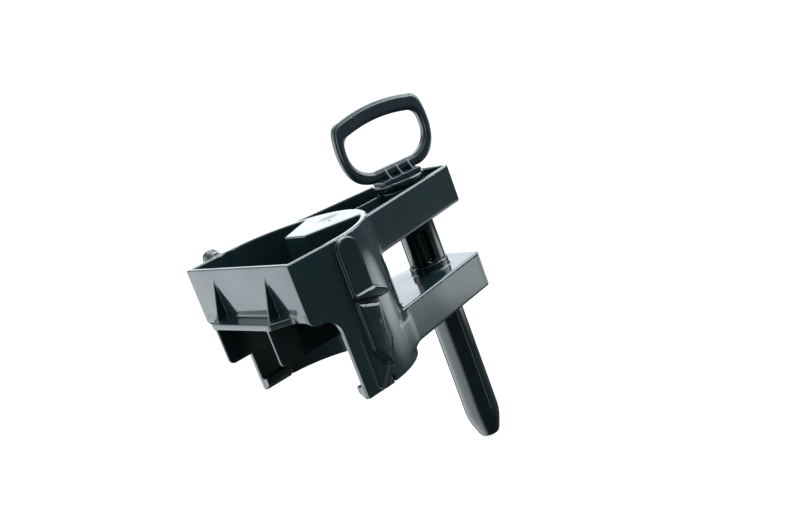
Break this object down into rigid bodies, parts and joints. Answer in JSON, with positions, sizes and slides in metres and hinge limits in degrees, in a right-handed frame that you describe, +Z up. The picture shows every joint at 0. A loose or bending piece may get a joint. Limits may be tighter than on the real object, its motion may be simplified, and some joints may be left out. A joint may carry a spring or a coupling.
{
  "type": "drop-pin clevis bracket",
  "caption": "Black plastic clip-on hitch bracket: half-round saddle with a shallow tray and snap legs, clevis arms, and a pull-out drop pin with a ring handle.",
  "frame": {"origin": "on the axis of the half-round saddle, at the underside of the tray floor, where the carrier's tongue bears", "axes": "+X from the saddle towards the clevis arms and the drop pin, +Y towards the side with the tie knob, +Z up along the drop pin"},
  "size_m": [0.1287, 0.0931, 0.1688],
  "materials": {
    "moulding": "glossy moulded black",
    "pin": "glossy moulded black",
    "handle": "satin moulded black"
  },
  "bodies": {
    "bracket": {"front_flange_gusset": "moulding", "front_pad": "moulding", "front_side_plate": "moulding", "front_thumb_ledge": "moulding", "front_tray_floor_side": "moulding", "front_tray_wall": "moulding", "front_web_wall": "moulding", "lower_arm_deck": "moulding", "lower_arm_end_wall": "moulding", "lower_arm_front_wall": "moulding", "lower_arm_rear_wall": "moulding", "lower_pin_boss": "moulding", "rear_flange_gusset": "moulding", "rear_pad": "moulding", "rear_side_plate": "moulding", "rear_thumb_ledge": "moulding", "rear_tray_floor_side": "moulding", "rear_tray_wall": "moulding", "rear_web_wall": "moulding", "saddle_shell": "moulding", "tie_knob": "moulding", "tray_end_wall": "moulding", "tray_floor": "moulding", "upper_arm_end_wall": "moulding", "upper_arm_floor": "moulding", "upper_arm_front_wall": "moulding", "upper_arm_rear_wall": "moulding", "upper_arm_rib": "moulding", "upper_pin_boss": "moulding", "web_cap": "moulding", "web_nose": "moulding"},
    "front_leg": {"front_snap_leg": "moulding"},
    "rear_leg": {"rear_snap_leg": "moulding"},
    "pin": {"pin_lower_length": "pin"},
    "pin_handle": {"pin_upper_length": "pin", "pin_head": "pin", "pull_ring": "handle"}
  },
  "joints": [
    {"name": "pin_slide", "type": "slide", "parent": "bracket", "child": "pin", "axis": [0, 0, 1], "range_m": [0, 0.13]},
    {"name": "handle_turn", "type": "hinge", "parent": "pin", "child": "pin_handle", "pos_m": [0.0731, 0, 0], "axis": [0, 0, 1], "continuous": true},
    {"name": "front_leg_flex", "type": "hinge", "parent": "bracket", "child": "front_leg", "pos_m": [0, -0.0392, -0.0031], "axis": [-1, 0, 0], "range_deg": [0, 6], "stiffness_Nm_per_rad": 3},
    {"name": "rear_leg_flex", "type": "hinge", "parent": "bracket", "child": "rear_leg", "pos_m": [0, 0.0392, -0.0031], "axis": [1, 0, 0], "range_deg": [0, 6], "stiffness_Nm_per_rad": 3}
  ]
}
